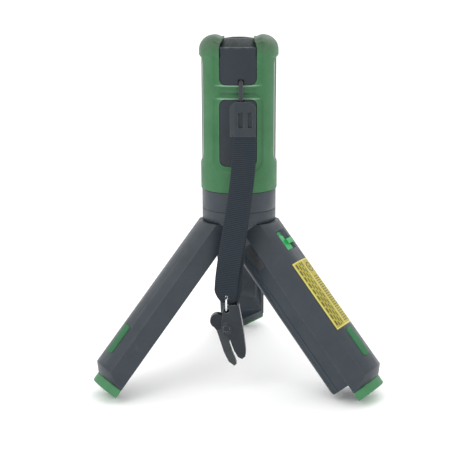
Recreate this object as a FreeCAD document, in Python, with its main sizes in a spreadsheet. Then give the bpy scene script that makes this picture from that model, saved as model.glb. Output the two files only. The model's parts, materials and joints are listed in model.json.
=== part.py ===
import FreeCAD, Part
import math
import os
import Sketcher

# Laser level on a folding tripod. The origin is the head's upright axis at floor height, +Z is up
# and the lanyard side faces -Y. Each leg is drawn folded and facing -Y, then splayed and turned.

SIZES = {
    # heights above the floor
    "collar_base": 116.0, "seam_height": 123.7, "cage_base": 137.9, "side_base": 158.3, "side_top": 228.4,
    "low_base": 156.5, "bridge_base": 201.7, "bridge_top": 211.3, "roof_edge": 235.9, "roof_top": 240.9,
    "shoulder_top": 243.6, "gimbal_height": 221.7, "laser_height": 187.5,
    # radii and widths of the head
    "hub_radius": 26.0, "cage_radius": 26.5, "cage_bore": 24.6, "shoulder_radius": 27.3, "panel_radius": 25.8,
    "core_radius": 24.4, "core_bore": 22.3, "roof_flat": 13.0, "window_half": 12.6, "side_half": 8.9,
    "slot_half": 9.8, "aperture": 5.3, "seam_gap": 0.2, "fit_gap": 0.2, "turn_gap": 0.05,
    # legs
    "hinge_radius": 21.0, "hinge_height": 117.5, "splay": 41.0, "leg_half_angle": 29.5,
    "leg_edge_half": 17.9, "leg_edge_radial": 10.6, "leg_apex": 0.5, "leg_wall": 2.2, "stop_gap": 0.4,
    "face_length": 126.0, "leg_length": 131.5, "foot_length": 6.5, "sole_thick": 2.6, "neck_radius": 19.8,
    "knuckle": 3.0, "pin_radius": 1.5, "pin_length": 19.0,
    # pads, label, switch and battery box, as distances below the collar
    "pad_start": 93.5, "pad_length": 22.2, "pad_half": 4.0, "pad_corner": 2.0, "label_start": 37.2,
    "label_length": 54.0, "label_half": 10.5, "switch_start": 11.6, "switch_length": 16.0,
    "switch_half": 5.6, "switch_travel": 4.0, "box_start": 8.6, "box_length": 117.0, "box_half": 16.2,
    "box_depth": 7.6, "box_wall": 1.3, "box_chamfer": 4.0, "bay_start": 10.0, "cell_radius": 7.1,
    "cell_length": 50.2,
    # lanyard
    "cord_radius": 1.5, "cord_side": 2.0, "cap_side": 3.3, "cap_half": 8.6, "cap_top": 201.3,
    "cap_base": 177.9, "strap_width": 16.0, "strap_thick": 1.5, "strap_top": 181.5, "strap_lean": 6.0,
    "clip_plane": 37.5, "clip_half": 4.0,
}

LEFT, RIGHT, REAR = -60, 60, 180
V = FreeCAD.Vector
doc = FreeCAD.newDocument("laser_level")
sheet = doc.addObject("Spreadsheet::Sheet", "dims")
parts = {}


class Size:
    """A length or angle that carries both its number and its spreadsheet expression."""

    def __init__(self, number, text):
        self.number = number
        self.text = text

    def __add__(self, other):
        other = as_size(other)
        return Size(self.number + other.number, f"({self.text} + {other.text})")

    def __sub__(self, other):
        other = as_size(other)
        return Size(self.number - other.number, f"({self.text} - {other.text})")

    def __mul__(self, factor):
        factor = as_size(factor)
        return Size(self.number * factor.number, f"({self.text} * {factor.text})")

    def __truediv__(self, factor):
        factor = as_size(factor)
        return Size(self.number / factor.number, f"({self.text} / {factor.text})")

    def __neg__(self):
        return Size(-self.number, f"(0 - {self.text})")

    def __radd__(self, other):
        return as_size(other) + self

    def __rsub__(self, other):
        return as_size(other) - self


def as_size(value):
    if isinstance(value, Size):
        return value
    return Size(float(value), f"({float(value)})")


def sine(angle):
    return Size(math.sin(math.radians(angle.number)), f"sin({angle.text} * 1 deg)")


def cosine(angle):
    return Size(math.cos(math.radians(angle.number)), f"cos({angle.text} * 1 deg)")


class Dims:
    """The driving dimensions, one attribute for each spreadsheet alias."""

    def __init__(self):
        for row, (alias, value) in enumerate(SIZES.items(), start=1):
            sheet.set(f"A{row}", alias)
            sheet.set(f"B{row}", str(value))
            sheet.setAlias(f"B{row}", alias)
            setattr(self, alias, Size(value, f"dims.{alias}"))


d = Dims()
doc.recompute()

AXIS_TURNS = {
    "x": FreeCAD.Rotation(V(0, 1, 0), 90),
    "y": FreeCAD.Rotation(V(1, 0, 0), -90),
    "z": FreeCAD.Rotation(),
}


def bind(obj, prop, size):
    obj.setExpression(prop, as_size(size).text)


def place(obj, x, y, z, axis="z"):
    obj.Placement = FreeCAD.Placement(V(), AXIS_TURNS[axis])
    for prop, size in zip("xyz", (x, y, z)):
        bind(obj, f"Placement.Base.{prop}", size)
    return obj


def cylinder(name, radius, length, x=0, y=0, z=0, axis="z"):
    obj = doc.addObject("Part::Cylinder", name)
    bind(obj, "Radius", radius)
    bind(obj, "Height", length)
    return place(obj, x, y, z, axis)


def cone(name, start_radius, end_radius, length, x=0, y=0, z=0, axis="z"):
    obj = doc.addObject("Part::Cone", name)
    bind(obj, "Radius1", start_radius)
    bind(obj, "Radius2", end_radius)
    bind(obj, "Height", length)
    return place(obj, x, y, z, axis)


def block(name, xs, ys, zs):
    """A box between two limits along each axis."""
    obj = doc.addObject("Part::Box", name)
    for prop, (low, high) in zip(("Length", "Width", "Height"), (xs, ys, zs)):
        bind(obj, prop, as_size(high) - low)
    return place(obj, xs[0], ys[0], zs[0])


def fuse(name, *shapes):
    obj = doc.addObject("Part::MultiFuse", name)
    obj.Shapes = list(shapes)
    return obj


def cut(name, base, *tools):
    obj = doc.addObject("Part::Cut", name)
    obj.Base = base
    obj.Tool = tools[0] if len(tools) == 1 else fuse(name + "_tools", *tools)
    return obj


def common(name, base, tool):
    obj = doc.addObject("Part::Common", name)
    obj.Base = base
    obj.Tool = tool
    return obj


def group(name, shapes):
    obj = doc.addObject("Part::Compound", name)
    obj.Links = list(shapes)
    return obj


def tube(name, outer, inner, low, high):
    length = as_size(high) - low
    bore = cylinder(name + "_bore", inner, length, z=low)
    return cut(name, cylinder(name + "_outer", outer, length, z=low), bore)


def rounded(name, base, radius, axis):
    """Round the straight edges of a box that run along one axis."""
    doc.recompute()
    along = {"x": V(1, 0, 0), "y": V(0, 1, 0), "z": V(0, 0, 1)}[axis]
    obj = doc.addObject("Part::Fillet", name)
    obj.Base = base
    edges = []
    for number, edge in enumerate(base.Shape.Edges, start=1):
        direction = (edge.Vertexes[-1].Point - edge.Vertexes[0].Point).normalize()
        if abs(direction.dot(along)) > 0.999:
            edges.append((number, radius, radius))
    obj.Edges = edges
    return obj


def arc_segment(start, end, radius):
    """The arc from start to end (anticlockwise for a positive radius), and whether its ends are swapped."""
    chord = end - start
    middle = (start + end) * 0.5
    height = math.sqrt(radius * radius - chord.Length * chord.Length / 4)
    side = V(-chord.y, chord.x, 0).normalize()
    centre = middle + side * (height if radius > 0 else -height)
    first, last = (start, end) if radius > 0 else (end, start)
    angles = [math.atan2(p.y - centre.y, p.x - centre.x) for p in (first, last)]
    if angles[1] < angles[0]:
        angles[1] += 2 * math.pi
    return Part.ArcOfCircle(Part.Circle(centre, V(0, 0, 1), abs(radius)), *angles), radius < 0


def outline(body, name, plane_role, points, offset):
    """A closed sketch. Each point is (across, up), with the radius of any arc to the next point."""
    sketch = body.newObject("Sketcher::SketchObject", name)
    plane = [item for item in body.Origin.OriginFeatures if item.Role == plane_role][0]
    sketch.AttachmentSupport = [(plane, "")]
    sketch.MapMode = "FlatFace"
    bind(sketch, "AttachmentOffset.Base.z", offset)
    corners = [V(as_size(point[0]).number, as_size(point[1]).number, 0) for point in points]
    ends = []
    for index, point in enumerate(points):
        start, end = corners[index], corners[(index + 1) % len(points)]
        if len(point) == 3:
            segment, swapped = arc_segment(start, end, as_size(point[2]).number)
        else:
            segment, swapped = Part.LineSegment(start, end), False
        sketch.addGeometry(segment, False)
        ends.append((2, 1) if swapped else (1, 2))
    for index in range(len(points)):
        following = (index + 1) % len(points)
        link = Sketcher.Constraint("Coincident", index, ends[index][1], following, ends[following][0])
        sketch.addConstraint(link)
    for index, point in enumerate(points):
        for kind, number, size in zip(("DistanceX", "DistanceY"), corners[index], point):
            place_at = sketch.addConstraint(Sketcher.Constraint(kind, -1, 1, index, ends[index][0], number))
            sketch.setExpression(f"Constraints[{place_at}]", as_size(size).text)
        if len(point) == 3:
            radius = as_size(point[2])
            bend = sketch.addConstraint(Sketcher.Constraint("Radius", index, abs(radius.number)))
            sketch.setExpression(f"Constraints[{bend}]", f"abs({radius.text})")
    return sketch


def prism(name, points, low, high, plane_role="XY_Plane"):
    """A padded outline. XY_Plane runs along +Z, XZ_Plane along -Y and YZ_Plane along +X, from low to high."""
    body = doc.addObject("PartDesign::Body", name)
    sketch = outline(body, name + "_sketch", plane_role, points, low)
    pad = body.newObject("PartDesign::Pad", name + "_pad")
    pad.Profile = sketch
    bind(pad, "Length", as_size(high) - low)
    return body


def turned(name, points):
    """An outline of (radius, height) points turned once about the upright axis."""
    body = doc.addObject("PartDesign::Body", name)
    sketch = outline(body, name + "_sketch", "XZ_Plane", points, 0)
    revolution = body.newObject("PartDesign::Revolution", name + "_turn")
    revolution.Profile = sketch
    revolution.ReferenceAxis = (sketch, ["V_Axis"])
    revolution.Angle = 360
    return body


def part(node, obj, placement=None):
    """Register a finished sub-part under its node name."""
    obj.Label = node
    if placement is not None:
        obj.Placement = placement
    parts[node] = obj
    return obj


def around(azimuth):
    return FreeCAD.Placement(V(), FreeCAD.Rotation(V(0, 0, 1), azimuth))


def splayed(azimuth):
    """The placement that takes a piece from the folded leg that faces -Y to its own splayed leg."""
    hinge = V(0, -d.hinge_radius.number, d.hinge_height.number)
    swing = FreeCAD.Placement(V(), FreeCAD.Rotation(V(1, 0, 0), -d.splay.number), hinge)
    return around(azimuth) * swing


# ---------------------------------------------------------------- head

def roof_cone(name):
    """The solid under the bevel that runs from the front panels up to the flat of the roof."""
    depth = 30
    slope = (d.panel_radius.number - d.roof_flat.number) / (d.roof_top.number - d.roof_edge.number)
    base_radius = d.panel_radius + (depth * slope)
    return cone(name, base_radius, d.roof_flat, d.roof_top - d.roof_edge + depth, z=d.roof_edge - depth)


def window_tool(name, xs, ys, zs, axis, radius=4.0):
    return rounded(name, block(name + "_box", xs, ys, zs), radius, axis)


def curved_panel(node, side, half, low, high, notch=None):
    """A plate that follows the head's curve, seen through a window on one side."""
    shell = tube(node + "_shell", d.panel_radius, d.cage_bore, low, high)
    reaches_roof = as_size(high).number > d.roof_edge.number
    top = high + 6 if reaches_roof else high
    limits = {
        "front": ((-half, half), (-40, 0), (low, top)),
        "rear": ((-half, half), (0, 40), (low, top)),
        "left": ((-40, 0), (-half, half), (low, top)),
        "right": ((0, 40), (-half, half), (low, top)),
    }[side]
    axis = "y" if side in ("front", "rear") else "x"
    plate = common(node + "_plate", shell, window_tool(node + "_window", *limits, axis))
    if reaches_roof:
        plate = common(node + "_bevelled", plate, roof_cone(node + "_bevel"))
    if notch is not None:
        plate = cut(node + "_notched", plate, block(node + "_notch", *notch))
    return part(node, plate)


def make_panels():
    gap = d.fit_gap
    cord_low, cord_high = d.cord_side - 1.8, d.cord_side + 2.1
    half = d.window_half - gap
    upper_low, lower_high = d.bridge_top + gap, d.bridge_base - gap
    top_notch = ((cord_low, cord_high), (-40, 0), (upper_low - 1, upper_low + 3.7))
    low_notch = ((cord_low, cord_high), (-40, 0), (lower_high - 6.5, lower_high + 1))
    curved_panel("front_upper_panel", "front", half, upper_low, d.roof_top, top_notch)
    curved_panel("front_lower_panel", "front", half, d.low_base + gap, lower_high, low_notch)
    curved_panel("rear_upper_panel", "rear", half, upper_low, d.roof_top)
    curved_panel("rear_lower_panel", "rear", half, d.low_base + gap, lower_high)
    for side in ("left", "right"):
        curved_panel(side + "_window", side, d.side_half - gap, d.side_base + gap, d.side_top - gap)


def make_cage():
    """The soft outer cage: four pillars, two side shoulders, a lower band and a bar across each face."""
    bore, outer = d.cage_bore, d.cage_radius
    crown = 10.2
    band = outer + 0.2
    shell = turned("cage_shell", [
        (bore, d.cage_base), (band, d.cage_base), (band, d.low_base - 0.5), (outer, d.low_base + 1.5),
        (outer, d.side_top + 0.4), (d.shoulder_radius, d.side_top + 1.6),
        (d.shoulder_radius, d.shoulder_top - crown, crown), (d.shoulder_radius - crown, d.shoulder_top),
        (11, d.shoulder_top), (11, d.roof_top + 0.5), (d.roof_flat, d.roof_top + 0.3),
        (bore, d.roof_edge + 0.8),
    ])
    half, side = d.window_half, d.side_half
    roof_gap = [(-half, d.roof_edge - 4), (half, d.roof_edge - 4), (half, d.roof_edge),
                (d.slot_half, d.shoulder_top + 1), (-d.slot_half, d.shoulder_top + 1), (-half, d.roof_edge)]
    tools = [
        prism("cage_roof_gap", roof_gap, -40, 40, "XZ_Plane"),
        window_tool("cage_upper", (-half, half), (-40, 40), (d.bridge_top, d.roof_edge + 2), "y"),
        window_tool("cage_lower", (-half, half), (-40, 40), (d.low_base, d.bridge_base), "y"),
        window_tool("cage_sides", (-40, 40), (-side, side), (d.side_base, d.side_top), "x"),
    ]
    part("rubber_cage", cut("rubber_cage_cut", shell, *tools))


def make_housing():
    """Two half shells that hold the works, open behind each window and recessed behind the lanyard bar."""
    low, high = d.cage_base + 0.1, d.roof_edge - 3.6
    recess_x = (d.cord_side - 3.4, d.cord_side + 3.4)
    recess_z = (d.bridge_base - 7, d.bridge_top + 5.5)
    wall = 1.5
    pocket_front = -20.6
    reach = 40
    halves = (("front_housing", (-reach, -0.05), (-reach, -16)), ("rear_housing", (0.05, reach), (16, reach)))
    for node, ys, window_ys in halves:
        shell = tube(node + "_shell", d.core_radius, d.core_bore, low, high)
        tools = [
            block(node + "_low_window", (-9, 9), window_ys, (d.low_base + 6, d.bridge_base - 10)),
            block(node + "_high_window", (-9, 9), window_ys, (d.bridge_top + 8, high - 4)),
            block(node + "_side_window", (-reach, reach), (-6, 6), (d.side_base + 8, d.side_top - 8)),
        ]
        side = block(node + "_side", (-reach, reach), ys, (low, high))
        half_shell = common(node + "_half", cut(node + "_opened", shell, *tools), side)
        if node == "front_housing":
            outer_x = (recess_x[0] - wall, recess_x[1] + wall)
            outer_z = (recess_z[0] - wall, recess_z[1] + wall)
            bump = block("recess_bump", outer_x, (-24, pocket_front + wall), outer_z)
            limit = cylinder("recess_limit", d.core_radius, high - low, z=low)
            hollow = block("recess_hollow", recess_x, (-reach, pocket_front), recess_z)
            bump = common("recess_block", bump, limit)
            half_shell = cut(node + "_recessed", fuse(node + "_bumped", half_shell, bump), hollow)
        part(node, half_shell)


def make_roof():
    """The dome in the roof, the ring round its aperture and the glass in the ring."""
    seat = d.core_radius - 0.1
    rise = 0.8
    plate = 2.0
    bore = d.aperture + 1.3
    shell = turned("top_cap_shell", [
        (bore, d.roof_top - plate), (d.roof_flat, d.roof_top - plate), (d.core_bore, d.roof_edge - 1.6),
        (d.core_bore, d.roof_edge - 3.4), (seat, d.roof_edge - 3.4), (seat, d.roof_edge + 0.5),
        (d.roof_flat, d.roof_top), (bore, d.roof_top + rise),
    ])
    part("top_cap", shell)
    ring_top = d.roof_top + rise + 0.15
    part("top_bezel", tube("top_bezel_ring", bore - 0.05, d.aperture, d.roof_top - 3.4, ring_top))
    part("top_lens", cylinder("top_lens_disc", d.aperture - 0.05, 1.2, z=d.roof_top - 3.2))


def make_collar():
    """The black collar under the cage, with the spigot that the housing halves stand round."""
    floor = d.cage_base - 3.4
    skin = tube("collar_skin", d.hub_radius, 23.5, d.seam_height + d.seam_gap, d.cage_base - d.seam_gap)
    deck = tube("collar_deck", d.hub_radius - 0.5, 8, floor, d.cage_base - d.seam_gap)
    spigot = tube("collar_spigot", d.core_bore - 0.2, 20, floor, d.cage_base + 4.6)
    holes = []
    for azimuth in (0, 120, 240):
        drill = cylinder(f"collar_drill_{azimuth}", 1.5, 5, y=-14, z=floor - 0.5)
        hole = group(f"collar_hole_{azimuth}", [drill])
        hole.Placement = around(azimuth)
        holes.append(hole)
    part("collar", cut("collar_cut", fuse("collar_solid", skin, deck, spigot), *holes))


def make_hub():
    """The ring that the legs hang from, its three hinge pins and the screws that hold it to the collar."""
    floor = d.cage_base - 3.4
    ring = cylinder("hub_ring", d.hub_radius, d.seam_height - d.collar_base, z=d.collar_base)
    spigot = cylinder("hub_spigot", 23.3, floor - 0.2 - d.seam_height, z=d.seam_height)
    pocket = d.knuckle + 0.4
    tools = [cylinder("hub_bore", 7, 60, z=d.collar_base - 10),
             tube("hub_relief", 20.5, 17.5, d.seam_height + 3, d.seam_height + 30)]
    pins, screws = [], []
    for azimuth in (LEFT, RIGHT, REAR):
        tag = str(azimuth % 360)
        pocket_ys = (-d.hinge_radius - pocket, -d.hinge_radius + pocket)
        opening = block("pocket_box_" + tag, (-6.3, 6.3), pocket_ys,
                        (d.collar_base - 1, d.hinge_height))
        crown = cylinder("pocket_crown_" + tag, pocket, 12.6, x=-6.3, y=-d.hinge_radius, z=d.hinge_height,
                         axis="x")
        half_pin = d.pin_length / 2
        bore = cylinder("pin_bore_" + tag, d.pin_radius + 0.01, d.pin_length, x=-half_pin, y=-d.hinge_radius,
                        z=d.hinge_height, axis="x")
        socket = fuse("socket_" + tag, opening, crown, bore)
        socket.Placement = around(azimuth)
        tools.append(socket)
        pin = cylinder("hinge_pin_" + tag, d.pin_radius, d.pin_length, x=-half_pin, y=-d.hinge_radius,
                       z=d.hinge_height, axis="x")
        carrier = group("hinge_pin_at_" + tag, [pin])
        carrier.Placement = around(azimuth)
        pins.append(carrier)
    for azimuth in (0, 120, 240):
        tag = str(azimuth)
        head_seat = cylinder("screw_seat_" + tag, 3.2, 3, y=-14, z=d.collar_base - 0.5)
        clearance = cylinder("screw_clearance_" + tag, 1.7, 30, y=-14, z=d.collar_base)
        well = fuse("screw_well_" + tag, head_seat, clearance)
        well.Placement = around(azimuth)
        tools.append(well)
        head = cylinder("screw_head_" + tag, 2.9, 1.8, y=-14, z=d.collar_base + 0.6)
        socket = cylinder("screw_socket_" + tag, 1.1, 1.2, y=-14, z=d.collar_base + 0.4)
        shank = cylinder("screw_shank_" + tag, 1.48, d.cage_base - d.collar_base - 1.8, y=-14,
                         z=d.collar_base + 1.6)
        screw = cut("screw_" + tag, fuse("screw_solid_" + tag, head, shank), socket)
        screw.Placement = around(azimuth)
        screws.append(screw)
    part("leg_hub", cut("leg_hub_cut", fuse("leg_hub_solid", ring, spigot), *tools))
    part("hinge_pins", group("hinge_pin_group", pins))
    part("hub_screws", group("hub_screw_group", screws))


# ---------------------------------------------------------------- works inside the head

def make_works():
    """The chassis, two-axis gimbal, pendulum with its laser modules, damper and circuit board."""
    deck = d.cage_base + 4.8
    pivot = d.gimbal_height
    laser = d.laser_height
    post_radius = 19.2
    post_offset = post_radius * math.sqrt(0.5)
    pieces = [tube("chassis_deck", d.core_bore - 0.3, 6, deck, deck + 2.5),
              cylinder("chassis_pedestal", 8, 16, z=deck)]
    for index, (x, y) in enumerate(((1, 1), (1, -1), (-1, 1), (-1, -1))):
        pieces.append(cylinder(f"chassis_post_{index}", 1.6, pivot - 2.2 - deck, x=x * post_offset,
                               y=y * post_offset, z=deck))
    part("chassis", fuse("chassis_solid", *pieces))
    part("damper_plate", cylinder("damper_disc", 11.5, 1.8, z=deck + 16.1))
    bracket = tube("bracket_ring", 21.4, 16.5, pivot - 2.1, pivot + 2.1)
    reach = d.turn_gap
    cross = cylinder("bracket_bore", 1.01, 60, x=-30, z=pivot, axis="x")
    part("gimbal_bracket", cut("gimbal_bracket_cut", bracket, cross))
    outer_pins = [cylinder("outer_pin_right", 1, 6, x=12, z=pivot, axis="x"),
                  cylinder("outer_pin_left", 1, 6, x=-18, z=pivot, axis="x")]
    part("gimbal_outer_pins", group("outer_pin_group", outer_pins))
    ring = tube("gimbal_ring_blank", 14.5, 11, pivot - 1.8, pivot + 1.8)
    outer_bore = cylinder("ring_bore_x", 1 + reach, 60, x=-30, z=pivot, axis="x")
    inner_bore = cylinder("ring_bore_y", 1.01, 60, y=-30, z=pivot, axis="y")
    part("gimbal_ring", cut("gimbal_ring_cut", ring, outer_bore, inner_bore))
    inner_pins = [cylinder("inner_pin_rear", 1, 6.5, y=7, z=pivot, axis="y"),
                  cylinder("inner_pin_front", 1, 6.5, y=-13.5, z=pivot, axis="y")]
    part("gimbal_inner_pins", group("inner_pin_group", inner_pins))
    hanger = tube("hanger", 9, 5.2, laser + 14, pivot + 2.6)
    hanger_bore = cylinder("hanger_bore", 1 + reach, 60, y=-30, z=pivot, axis="y")
    weight = cylinder("pendulum_weight", 11, 24, z=laser - 9)
    stem = cylinder("pendulum_stem", 2.5, 9, z=laser - 17)
    sockets = [cylinder("right_laser_socket", 4.02, 10, x=4.9, z=laser, axis="x"),
               cylinder("left_laser_socket", 4.02, 10, x=-14.9, z=laser, axis="x"),
               cylinder("front_laser_socket", 4.02, 10, y=-14.9, z=laser, axis="y")]
    frame = cut("pendulum_cut", fuse("pendulum_solid", hanger, weight, stem), hanger_bore, *sockets)
    part("pendulum_frame", frame)
    part("damper_magnet", cylinder("damper_magnet_disc", 7, 5, z=laser - 22.1))
    part("up_laser", laser_module("up_laser", laser + 15.1, 28, None))
    for node, turn in (("front_laser", 0), ("right_laser", 90), ("left_laser", -90)):
        part(node, laser_module(node, laser, 10, turn))
    board = block("board", (-10, 10), (17, 18.6), (d.cage_base + 12, d.bridge_top))
    part("circuit_board", board)


def laser_module(name, height, length, turn):
    """A brass barrel with a bore at its mouth, upright or pointing out to one side."""
    mouth = 1.5
    if turn is None:
        barrel = cylinder(name + "_barrel", 4, length, z=height)
        opening = cylinder(name + "_mouth", 2.2, mouth + 1, z=height + length - mouth)
        return cut(name + "_module", barrel, opening)
    root = 5.0
    barrel = cylinder(name + "_barrel", 4, length, y=-root - length, z=height, axis="y")
    opening = cylinder(name + "_mouth", 2.2, mouth + 1, y=-root - length - 1, z=height, axis="y")
    module = cut(name + "_module", barrel, opening)
    module.Placement = around(turn)
    return module


# ---------------------------------------------------------------- legs

def leg_section(radius, side_half, side_radial, angle, reach=None):
    """The leg's outline: an outer arc between two creases and straight sides that flare inward."""
    crease_x = radius * sine(angle)
    crease_y = -(radius * cosine(angle))
    points = [(-crease_x, crease_y, radius), (crease_x, crease_y), (side_half, -side_radial)]
    if reach is not None:
        points += [(side_half, reach), (-side_half, reach)]
    points.append((-side_half, -side_radial))
    return points


def splay_stop(name):
    """The space above the collar's underside, as the splayed leg sees it."""
    tool = doc.addObject("Part::Box", name)
    tool.Length, tool.Width, tool.Height = 90, 90, 40
    hinge = V(0, -d.hinge_radius.number, d.hinge_height.number)
    gap = d.collar_base.number - d.stop_gap.number - d.hinge_height.number
    back = FreeCAD.Placement(hinge, FreeCAD.Rotation(V(1, 0, 0), d.splay.number))
    tool.Placement = back * FreeCAD.Placement(V(-45, -45, gap), FreeCAD.Rotation())
    return tool


def face_block(name, half, low, high, ys, corner):
    """A bar across the leg's face with rounded corners, between two heights and two depths."""
    return rounded(name, block(name + "_bar", (-half, half), ys, (low, high)), corner, "y")


def core_section(gap, inward=None):
    """The wedge that closes the leg's lower end; its two inner sides meet in a ridge near the axis."""
    root_half, root_radial, tip_half = 13.5 + gap, -14 - gap, 16.2 + gap
    fall = (d.leg_edge_radial - d.leg_apex) / d.leg_edge_half
    tip_radial = -(d.leg_apex + fall * tip_half)
    points = [(-root_half, root_radial), (root_half, root_radial), (tip_half, tip_radial)]
    if inward is None:
        points.append((0, -d.leg_apex))
    else:
        points += [(tip_half, inward), (-tip_half, inward)]
    points.append((-tip_half, tip_radial))
    return points


def make_leg(side, azimuth):
    """One leg: a hollow shell open to the inside, hung from a knuckle, with a pad recess in its face."""
    name = side + "_leg"
    below = d.collar_base
    angle = d.leg_half_angle
    section = leg_section(d.hub_radius, d.leg_edge_half, d.leg_edge_radial, angle)
    blank = prism(name + "_blank", section, below - d.leg_length, below + 4)
    hollow_half = d.leg_edge_half - 2.0
    hollow_radial = d.leg_edge_radial - 0.9
    hollow_section = leg_section(d.hub_radius - d.leg_wall, hollow_half, hollow_radial, angle - 1.8, 5)
    hollow = prism(name + "_hollow", hollow_section, below - d.face_length, below - 7)
    neck_rise = d.leg_length - d.face_length
    neck_start = below - d.leg_length
    neck = cut(name + "_neck", cylinder(name + "_neck_blank", 32, neck_rise, z=neck_start),
               cone(name + "_neck_cone", d.neck_radius + 0.9, d.hub_radius, neck_rise, z=neck_start))
    above = block(name + "_above", (-40, 40), (-60, 40), (below - d.stop_gap, below + 20))
    pad_low, pad_high = below - d.pad_start - d.pad_length, below - d.pad_start
    recess = face_block(name + "_pad_recess", d.pad_half + 0.1, pad_low - 0.1, pad_high + 0.1, (-40, -24.9),
                        SIZES["pad_corner"] + 0.1)
    tools = [hollow, neck, above, splay_stop(name + "_stop"), recess]
    shell = blank
    if side == "right":
        pocket_high = below - d.switch_start
        pocket_low = pocket_high - d.switch_length
        run_high = pocket_high + d.switch_travel + 0.2
        rim = 1.6
        well = block(name + "_well", (-d.switch_half - rim, d.switch_half + rim), (-24.6, -19.6),
                     (pocket_low - rim, run_high + rim))
        shell_solid = cut(name + "_open", blank, *tools)
        shell_solid = fuse(name + "_with_well", shell_solid, well)
        opening = face_block(name + "_slot", d.switch_half, pocket_low, pocket_high, (-40, -21.5), 0.6)
        undercut = block(name + "_undercut", (-d.switch_half, d.switch_half), (-23.0, -21.5),
                         (pocket_low, run_high))
        slot = fuse(name + "_slot_solid", opening, undercut)
        stem_slot = block(name + "_stem_slot", (-1.2, 1.2), (-23, -19), (pocket_low + 3, pocket_high - 3))
        shell = cut(name + "_slotted", shell_solid, slot, stem_slot)
    else:
        shell = cut(name + "_open", blank, *tools)
    lug = cylinder(name + "_knuckle", d.knuckle, 12, x=-6, y=-d.hinge_radius, z=d.hinge_height, axis="x")
    bore = cylinder(name + "_pin_bore", d.pin_radius + d.turn_gap, 14, x=-7, y=-d.hinge_radius,
                    z=d.hinge_height, axis="x")
    sole = below - d.leg_length - 0.05 - d.foot_length
    core = prism(name + "_core", core_section(0), sole + d.sole_thick, below - d.face_length - 0.2)
    leg = cut(name + "_bored", fuse(name + "_with_core", shell, lug, core), bore)
    part(name, leg, splayed(azimuth))
    make_foot(side, azimuth, sole)
    make_pad(side, azimuth, pad_low, pad_high)


def make_foot(side, azimuth, sole):
    """The rubber foot round the wedge's end: a thin sole, cut level where it stands, and a wall outside."""
    name = side + "_foot"
    gap = 0.05
    top = sole + d.foot_length
    radius = d.neck_radius + 0.7
    section = leg_section(radius, d.leg_edge_half, d.leg_edge_radial, d.leg_half_angle)
    section.insert(3, (0, -d.leg_apex))
    blank = prism(name + "_blank", section, sole, top)
    bevel = 1.2
    trim = cut(name + "_trim", cylinder(name + "_trim_blank", 34, bevel, z=sole),
               cone(name + "_trim_cone", d.neck_radius, d.neck_radius + bevel, bevel, z=sole))
    ground = doc.addObject("Part::Box", name + "_ground")
    ground.Length, ground.Width, ground.Height = 120, 120, 20
    level = FreeCAD.Placement(V(-60, -140, -20), FreeCAD.Rotation())
    ground.Placement = splayed(0).inverse() * level
    bay = prism(name + "_bay", core_section(gap, 5), sole + d.sole_thick - gap, top + 1)
    part(name, cut(name + "_cut", blank, trim, ground, bay), splayed(azimuth))


def make_pad(side, azimuth, low, high):
    """The soft grip pad set into the leg's face."""
    name = side + "_pad"
    blank = face_block(name + "_blank", d.pad_half, low, high, (-40, -24.95), SIZES["pad_corner"])
    limit = cylinder(name + "_limit", d.hub_radius + 0.5, d.pad_length + 10, z=low - 5)
    part(name, common(name + "_curved", blank, limit), splayed(azimuth))


# ---------------------------------------------------------------- battery box and switch in the right leg

def box_blank(name, half, ys, zs, corner, chamfer):
    """A block with rounded inner corners; its far lower edge is chamfered so that it clears the ground."""
    solid = rounded(name + "_rounded", block(name + "_block", (-half, half), ys, zs), corner, "z")
    depth, low = ys[1], zs[0]
    corner_points = [(depth - chamfer, low - 1), (depth + 1, low - 1), (depth + 1, low + chamfer)]
    trim = prism(name + "_trim", corner_points, -40, 40, "YZ_Plane")
    return cut(name + "_blank", solid, trim)


def make_battery_box():
    """The tray that holds the cells, and the cover that slides along it."""
    low = d.collar_base - d.box_start - d.box_length
    high = d.collar_base - d.box_start
    half, depth, wall, chamfer = d.box_half, d.box_depth, d.box_wall, d.box_chamfer
    skin = 1.5
    split_gap = 0.1
    back = -(d.leg_edge_radial - 0.1)
    clear = wall + 0.2
    bay_low = low + d.bay_start
    tray_outer = box_blank("box_outer", half, (back - 6, depth), (low, high), 5.0, chamfer)
    tray_inner = box_blank("box_inner", half - wall, (back - 8, depth - wall), (low + skin, high - skin),
                           3.7, chamfer - 0.6)
    tray_zone = block("tray_zone", (-30, 30), (back, -split_gap), (low, high))
    floor = block("tray_floor", (wall - half, half - wall), (back, back + 1), (low + 1, high - 1))
    dividers = []
    for tag, start in (("low", bay_low), ("high", high - skin)):
        zone = block(f"divider_zone_{tag}", (-14.4, 14.4), (back, depth - wall - 0.3), (start, start + skin))
        limit = box_blank(f"divider_limit_{tag}", half - clear, (back - 8, depth - clear), (low, high), 3.5,
                          chamfer - 0.8)
        dividers.append(common(f"divider_{tag}", zone, limit))
    walls = common("tray_walls", cut("tray_shell", tray_outer, tray_inner), tray_zone)
    part("battery_box", fuse("tray_solid", walls, floor, *dividers), splayed(RIGHT))
    cover_outer = box_blank("cover_outer", half, (back - 6, depth), (low, high), 5.0, chamfer)
    cover_inner = box_blank("cover_inner", half - wall, (back - 8, depth - wall), (low + skin, high + 5),
                            3.7, chamfer - 0.6)
    cover_zone = block("cover_zone", (-30, 30), (split_gap, 30), (low, high))
    latch = block("cover_latch", (-6, 6), (depth - 0.2, depth + 0.9), (high - 9, high - 3))
    cover_walls = common("cover_shell", cut("cover_hollow", cover_outer, cover_inner), cover_zone)
    part("battery_cover", fuse("cover_solid", cover_walls, latch), splayed(RIGHT))
    make_cells(bay_low + skin, high - skin, back)


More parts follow.
